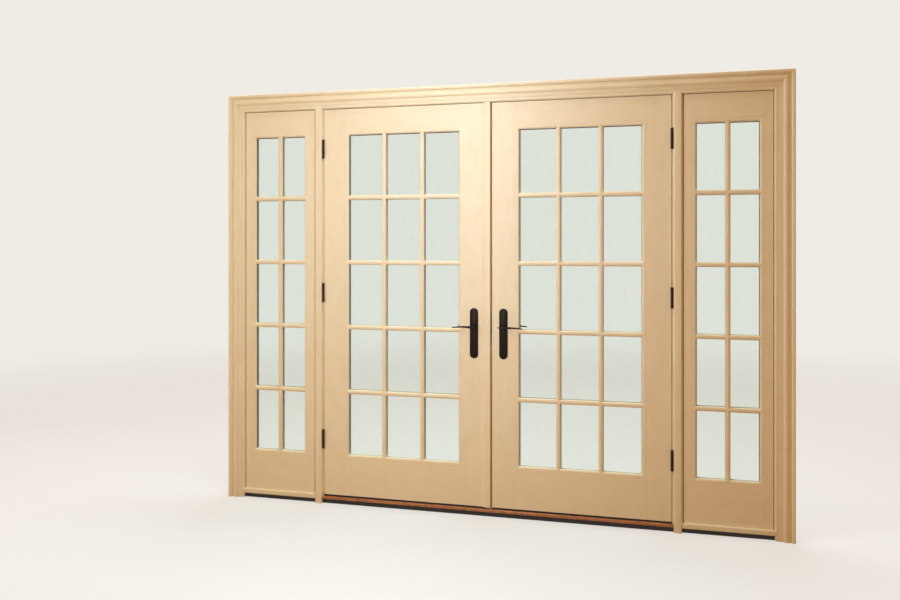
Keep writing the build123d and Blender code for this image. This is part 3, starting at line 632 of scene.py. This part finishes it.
def set_on(local, side, face):
    """(reach, up, out) places round the spindle as places in the model. Reach counts towards the
    leaf's hinges and out counts away from the face."""
    x, z = pivot_of(side)
    toward = -1 if side == "left" else 1
    room_y, outdoor_y = leaf_faces(side)
    y = room_y - local[..., 2] if face == "room" else outdoor_y + local[..., 2]
    return np.stack([x + toward * local[..., 0], y, z + local[..., 1]], -1)


def plate_rings(side, face):
    """An escutcheon as rings: each is the rounded outline drawn in by an inset, at a height
    over the leaf. An outline point is a point of the middle line plus the radius left times its
    normal. The rings step over a sunk border to a raised field, then go down the neck's bore."""
    low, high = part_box(f"{side}_handle_plates")
    foot, top = low[2] + PLATE_R - pivot_of(side)[1], high[2] - PLATE_R - pivot_of(side)[1]
    turn = np.concatenate([np.linspace(-math.pi / 2, math.pi / 2, PLATE_POINTS),
                           np.linspace(math.pi / 2, 3 * math.pi / 2, PLATE_POINTS)])
    middle = np.repeat([top, foot], PLATE_POINTS)
    normal = np.stack([np.sin(turn), np.cos(turn)], -1)
    section = [(0.0, 0.0), (0.0, 2.4), (0.4, 3.4), (1.3, 4.1), (2.4, 4.4), (6.6, 4.7), (7.0, 4.3),
               (7.6, 4.3), (8.0, 5.2), (8.6, 5.8), (9.6, PLATE_T / MM)]
    rings = []
    for inset, rise in section:
        flat = (PLATE_R - inset * MM) * normal
        rings.append(np.stack([flat[:, 0], flat[:, 1] + middle,
                               np.full(turn.shape, rise * MM)], -1))
    away = rings[-1][:, :2] / np.linalg.norm(rings[-1][:, :2], axis=1, keepdims=True)
    for rise in (PLATE_T, 0.0):
        rings.append(np.column_stack([(NECK_R + BORE_CLEAR) * away, np.full(turn.shape, rise)]))
    return set_on(np.array(rings), side, face)


def lever_arm():
    """The forged arm as rings along its reach, from a short scroll behind to the tip. Half its
    height is the tip's, plus a share to the waist that falls off in a line, plus a swelling at
    the root, exp of minus the square of reach over its swell; its depth swells in the same way.
    Its middle line is a half sine arch less a square droop in front, and a square curl up
    behind. A ring is a superellipse of LEVER_POWER, and both ends are rounded by a quarter
    circle, which is trimmed a little before its pole. The rings crowd to the ends as a cosine
    does."""
    share = (1 - np.cos(np.linspace(LEVER_TRIM, math.pi - LEVER_TRIM, LEVER_RINGS))) / 2
    reach = -LEVER_BACK + (LEVER_L + LEVER_BACK) * share
    ahead = np.clip(reach / LEVER_L, 0, 1)
    behind = np.clip(-reach / LEVER_BACK, 0, 1)
    front = LEVER_TIP + (LEVER_WAIST - LEVER_TIP) * (1 - ahead)
    front = front + (LEVER_ROOT - LEVER_WAIST) * np.exp(-(reach / ROOT_SWELL) ** 2)
    back = LEVER_TIP + (LEVER_ROOT - LEVER_TIP) * np.exp(-(reach / BACK_SWELL) ** 2)
    half_up = np.where(reach > 0, front, back)
    half_out = (LEVER_TIP_DEPTH
                + (LEVER_DEPTH - LEVER_TIP_DEPTH) * np.exp(-(reach / DEPTH_SWELL) ** 2))
    end = np.minimum(LEVER_L - reach, reach + LEVER_BACK) / LEVER_END
    taper = np.sqrt(1 - (1 - np.clip(end, 0, 1)) ** 2)
    wave = (LEVER_ARCH * np.sin(math.pi * ahead) - LEVER_DROOP * ahead ** 2
            + LEVER_CURL * behind ** 2)
    turn = np.linspace(0, 2 * math.pi, LEVER_POINTS, endpoint=False)
    up = np.sign(np.sin(turn)) * np.abs(np.sin(turn)) ** (2 / LEVER_POWER)
    out = np.sign(np.cos(turn)) * np.abs(np.cos(turn)) ** (2 / LEVER_POWER)
    return np.stack([np.repeat(reach[:, None], LEVER_POINTS, 1),
                     wave[:, None] + (half_up * taper)[:, None] * up,
                     LEVER_STAND + (half_out * taper)[:, None] * out], -1)


def lever_neck():
    """The turned neck and its collar, as circles: (radius, height over the leaf)."""
    section = [(2.0, 0.5), (8.9, 0.5), (8.9, 6.35), (12.6, 6.35), (13.0, 6.8), (13.0, 8.8),
               (12.5, 10.2), (11.2, 11.4), (9.6, 12.3), (8.6, 13.4), (8.0, 15.5), (7.6, 20.0),
               (7.4, 27.0), (7.6, 34.0), (8.2, 39.0), (8.8, 42.5), (9.0, 45.5), (8.7, 48.0),
               (7.6, 49.8), (5.4, 50.7), (2.6, 51.0)]
    turn = np.linspace(0, 2 * math.pi, NECK_POINTS, endpoint=False)
    radius, rise = np.array(section).T[:, :, None] * MM
    return np.stack([radius * np.cos(turn), radius * np.sin(turn),
                     np.repeat(rise, NECK_POINTS, 1)], -1)


def spindle_bar(side):
    """The square bar on the outdoor lever, from its neck back into the room lever's socket. Its
    corners lie the root of 2 times SPINDLE_HALF from the middle."""
    room_y, outdoor_y = leaf_faces(side)
    turn = math.pi / 4 + np.arange(4) * math.pi / 2
    flat = SPINDLE_HALF * math.sqrt(2) * np.stack([np.cos(turn), np.sin(turn)], -1)
    ends = (SPINDLE_START, -(outdoor_y - room_y) - SPINDLE_PAST)
    return np.array([np.column_stack([flat, np.full(4, out)]) for out in ends])


for side in ("left", "right"):
    plates = new_piece(f"{side}_escutcheons",
                       [plate_rings(side, "room"), plate_rings(side, "outdoor")],
                       f"{side}_leaf", handle_bronze, loop=True)
    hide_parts(f"{side}_handle_plates")
    low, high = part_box(f"{side}_handle_plates")
    heights = (low[2] + PLATE_SCREW_IN, high[2] - PLATE_SCREW_IN)
    screws = [screw_head((pivot_of(side)[0], leaf_faces(side)[0] - PLATE_T, z), (1, 0, 0),
                         (0, -1, 0), PLATE_SCREW_R, 0.6 + 5 * z) for z in heights]
    new_piece(f"{side}_escutcheon_screws", screws, f"{side}_leaf", handle_bronze)
    for face in ("room", "outdoor"):
        grids = [set_on(grid, side, face) for grid in (lever_arm(), lever_neck())]
        if face == "outdoor":
            grids.append(set_on(spindle_bar(side), side, face))
        lever = new_piece(f"{side}_{face}_forged_lever", grids, f"{side}_handle",
                          handle_bronze)
        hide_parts(f"{side}_{face}_lever")


# Lock, bolts and meeting seal: a mortice lock in the right leaf, its strike in the astragal,
# two flush bolts, and a tan foam strip that closes the gap between the leaves.
EDGE_SCREW_IN = 10 * MM
SEAL_SET_BACK, SEAL_NOSE = 2.5 * MM, 2.5 * MM


def brushed_steel():
    """Zinc-plated steel, brushed along its length in 0.4 mm lines."""
    material, tree = new_material("brushed_zinc_plated_steel")
    lines = put(tree, "ShaderNodeTexNoise", inputs={"Vector": along(tree, 40, 0.4, "Z")})
    colour = put(tree, "ShaderNodeValToRGB", inputs={"Fac": lines}, stops=[
        (0.3, "#9A968E"), (0.7, "#B9B5AC")])
    gloss = put(tree, "ShaderNodeMapRange", inputs={
        "Value": lines, "From Min": 0.3, "From Max": 0.7, "To Min": 0.28, "To Max": 0.42})
    surface = put(tree, "ShaderNodeBsdfPrincipled", inputs={
        "Base Color": colour, "Metallic": 1.0, "Roughness": gloss})
    put(tree, "ShaderNodeOutputMaterial", inputs={"Surface": surface})
    return material


def edge_screws(node, outward_x):
    """Two screws near the ends of a plate that lies in a leaf's meeting edge."""
    low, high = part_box(node)
    face_x = high[0] if outward_x > 0 else low[0]
    middle_y = (leaf_faces("left")[0] + leaf_faces("left")[1]) / 2
    return [screw_head((face_x, middle_y, z), (0, 1, 0), (outward_x, 0, 0), PLATE_SCREW_R, 7 * z)
            for z in (low[2] + EDGE_SCREW_IN, high[2] - EDGE_SCREW_IN)]


steel = brushed_steel()
for piece in ("lock_bolt", "top_bolt", "bottom_bolt"):
    finish_node(piece, steel)
for piece in ("lock_case", "strike_plate"):
    finish_node(piece, handle_bronze)
new_piece("lock_faceplate_screws", edge_screws("lock_case", -1), "right_leaf",
          handle_bronze)
new_piece("strike_plate_screws", edge_screws("strike_plate", 1), "left_leaf",
          handle_bronze)


def seal_bars():
    """Two bars of foam, below and above the strike. Each section is the gap's part that the
    seal takes, with a half ellipse SEAL_NOSE deep towards the room."""
    low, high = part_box("meeting_seal")
    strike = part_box("strike_plate")
    turn = np.linspace(0, math.pi, 9)
    middle, half = (low[0] + high[0]) / 2, (high[0] - low[0]) / 2
    x = np.concatenate([[high[0]], middle + half * np.cos(turn), [low[0]]])
    nose_y = leaf_faces("left")[0] + SEAL_SET_BACK
    y = np.concatenate([[high[1]], nose_y + SEAL_NOSE * (1 - np.sin(turn)), [high[1]]])
    spans = [(low[2], strike[0][2]), (strike[1][2], high[2])]
    return [np.array([np.stack([x, y, np.full(x.shape, z)], -1) for z in span])
            for span in spans]


seal = new_piece("meeting_seal_bars", seal_bars(), "left_leaf",
                 foam_seal("tan_foam", "#C1965F", "#D5AD79"))
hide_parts("meeting_seal")


# Head pad: a small painted block on top of the astragal's flange, in front of the head, that
# covers the gap over the leaves where they meet.
PAD_INSET, PAD_EASE = 14 * MM, 1 * MM
PAD_RISE, PAD_CLEAR = 4.5 * MM, 0.4 * MM


def pad_rings():
    """A block over the flange: a rectangle whose two front corners are cut off by PAD_EASE,
    carried from the leaf's top up by PAD_RISE."""
    low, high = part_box("astragal")
    left_x, back_y = low[0] + PAD_INSET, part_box("head_jamb")[0][1] - PAD_CLEAR
    x = np.array([left_x, left_x + PAD_EASE, high[0] - PAD_EASE, high[0], high[0], left_x])
    y = np.array([low[1] + PAD_EASE, low[1], low[1], low[1] + PAD_EASE, back_y, back_y])
    return np.array([np.stack([x, y, np.full(6, z)], -1) for z in (high[2], high[2] + PAD_RISE)])


new_piece("astragal_head_pad", [pad_rings()], "left_leaf", paint_up)


# Studio: a pale floor that fades into the backdrop's tone, a dim warm surround, and soft boxes
# in front, above, behind and at both sides.
STAGE_PALE = "#EFECE6"
FLOOR_R, FLOOR_POINTS = 14.0, 96
FADE_FROM, FADE_TO = 3.0, 9.0
FLOOR_SEEN, FLOOR_BOUNCE, FLOOR_GLOW = "#E8F0F4", "#B4905A", 0.66
SURROUND, SURROUND_LEVEL = "#FFAE3C", 0.36


def shown_rays(tree):
    """1 on the rays that show the backdrop's own tone: from the camera, through glass or
    mirrored in glass and metal. 0 on those that light the object."""
    camera_ray, through, mirrored = [put(tree, "ShaderNodeLightPath", out=f"Is {kind} Ray")
                                     for kind in ("Camera", "Transmission", "Glossy")]
    either = put(tree, "ShaderNodeMath", {"operation": "MAXIMUM"}, {0: camera_ray, 1: through})
    return put(tree, "ShaderNodeMath", {"operation": "MAXIMUM"}, {0: either, 1: mirrored})


def pale_floor():
    """Matt pale floor. Where it is seen, FLOOR_GLOW of it is the backdrop's own even tone, and
    the rest is lit, which keeps the object's shadow; what it throws back at the object is
    duller. Its cover falls from 1 to 0 between two radii, so that no horizon shows."""
    material, tree = new_material("pale_studio_floor")
    place = put(tree, "ShaderNodeTexCoord", out="Object")
    far = put(tree, "ShaderNodeVectorMath", {"operation": "LENGTH"}, {0: place}, out="Value")
    fade = put(tree, "ShaderNodeMapRange", {"interpolation_type": "SMOOTHSTEP"}, {
        "Value": far, "From Min": FADE_FROM, "From Max": FADE_TO})
    seen = shown_rays(tree)
    tone = put(tree, "ShaderNodeMix", {"data_type": "RGBA"}, {
        0: seen, 6: linear(FLOOR_BOUNCE), 7: linear(FLOOR_SEEN)}, out=2)
    matt = put(tree, "ShaderNodeBsdfPrincipled", inputs={
        "Base Color": tone, "Roughness": 0.9, "Specular IOR Level": 0.1})
    glow = put(tree, "ShaderNodeEmission", inputs={"Color": linear(STAGE_PALE), "Strength": 1.0})
    share = put(tree, "ShaderNodeMath", {"operation": "MULTIPLY"}, {0: seen, 1: FLOOR_GLOW})
    lit = put(tree, "ShaderNodeMixShader", inputs={0: share, 1: matt, 2: glow})
    clear = put(tree, "ShaderNodeBsdfTransparent")
    both = put(tree, "ShaderNodeMixShader", inputs={0: fade, 1: lit, 2: clear})
    put(tree, "ShaderNodeOutputMaterial", inputs={"Surface": both})
    return material


def floor_disc():
    """A flat disc at z = 0: points at the floor's radius round a circle, closed by one face."""
    turn = np.linspace(0, 2 * math.pi, FLOOR_POINTS, endpoint=False)
    ring = np.column_stack([FLOOR_R * np.cos(turn), FLOOR_R * np.sin(turn), 0 * turn])
    mesh = bpy.data.meshes.new("studio_floor")
    mesh.from_pydata(ring.tolist(), [], [list(range(len(ring)))])
    return mesh


floor = bpy.data.objects.new("studio_floor", floor_disc())
floor.data.materials.append(pale_floor())
bpy.context.collection.objects.link(floor)

world = bpy.data.worlds.new("studio")
bpy.context.scene.world = world
world.use_nodes = True
tree = world.node_tree
tree.nodes.clear()
backdrop = put(tree, "ShaderNodeBackground", inputs={"Color": linear(STAGE_PALE), "Strength": 1.0})
surround = put(tree, "ShaderNodeBackground", inputs={
    "Color": linear(SURROUND), "Strength": SURROUND_LEVEL})
mixed = put(tree, "ShaderNodeMixShader", inputs={
    0: shown_rays(tree), 1: surround, 2: backdrop})
put(tree, "ShaderNodeOutputWorld", inputs={"Surface": mixed})


def area_lamp(name, place, aim, wide, tall, power, code, shines=False, spread=180):
    """A soft box at a place, turned to face the aim point, its light kept within a spread in
    degrees. It shows in no view, and in reflections only where it shines."""
    lamp = bpy.data.lights.new(name, "AREA")
    lamp.shape = "RECTANGLE"
    lamp.size, lamp.size_y = wide, tall
    lamp.energy = power
    lamp.spread = math.radians(spread)
    lamp.color = linear(code)[:3]
    made = bpy.data.objects.new(name, lamp)
    made.location = place
    facing = np.subtract(aim, place)
    flat = math.hypot(facing[0], facing[1])
    made.rotation_euler = (math.atan2(flat, -facing[2]), 0,
                           math.atan2(facing[1], facing[0]) - math.pi / 2)
    made.visible_camera = False
    made.visible_transmission = False
    made.visible_glossy = shines
    bpy.context.collection.objects.link(made)


area_lamp("key", (-0.29, -1.35, 1.95), (-0.2, 0.0, 1.4), 0.28, 2.4, 18.2, "#EEF7FF", True)
area_lamp("fill", (-3.0, -2.6, 2.2), (-0.4, 0.0, 0.8), 2.0, 2.0, 31, "#F8F8E8")
area_lamp("daylight", (0.2, 1.9, 8.5), (0.0, 0.0, 1.0), 4.6, 2.4, 430, "#F2F7FF")
area_lamp("ceiling", (0.3, -1.2, 6.5), (0.0, 0.0, 1.0), 2.6, 1.4, 86, "#FAF6E6")
area_lamp("outdoor fill", (0.0, 5.5, 1.5), (0.0, 0.0, 1.1), 2.4, 1.8, 11, "#F6F8FF", spread=70)
for side, sign in (("left", -1), ("right", 1)):
    area_lamp(f"{side} side", (sign * 6.0, 0.35, 1.3), (sign * 1.5, 0.05, 1.1), 0.5, 2.0, 9,
              "#F6F8FF", spread=60)

# The camera stands right of the middle and looks a little left, level, with its view moved down
# by the lens shift. Its numbers come from a fit of the joints seen in the photograph.
IMAGE_W, IMAGE_H = 900, 600
CAMERA_AT = (0.926, -4.346, 1.405)
CAMERA_YAW = math.radians(14.79)
FOCAL_PX, HORIZON_PX = 850.4, 244.1
SENSOR_MM, SEEN_TO = 36.0, 60
lens = bpy.data.cameras.new("camera")
lens.sensor_width = SENSOR_MM
lens.lens = FOCAL_PX / IMAGE_W * SENSOR_MM
lens.shift_y = (HORIZON_PX - IMAGE_H / 2) / IMAGE_W
lens.clip_end = SEEN_TO
camera = bpy.data.objects.new("camera", lens)
camera.location = CAMERA_AT
camera.rotation_euler = (math.pi / 2, 0, CAMERA_YAW)
bpy.context.collection.objects.link(camera)
bpy.context.scene.camera = camera
bpy.context.scene.view_settings.view_transform = "Standard"
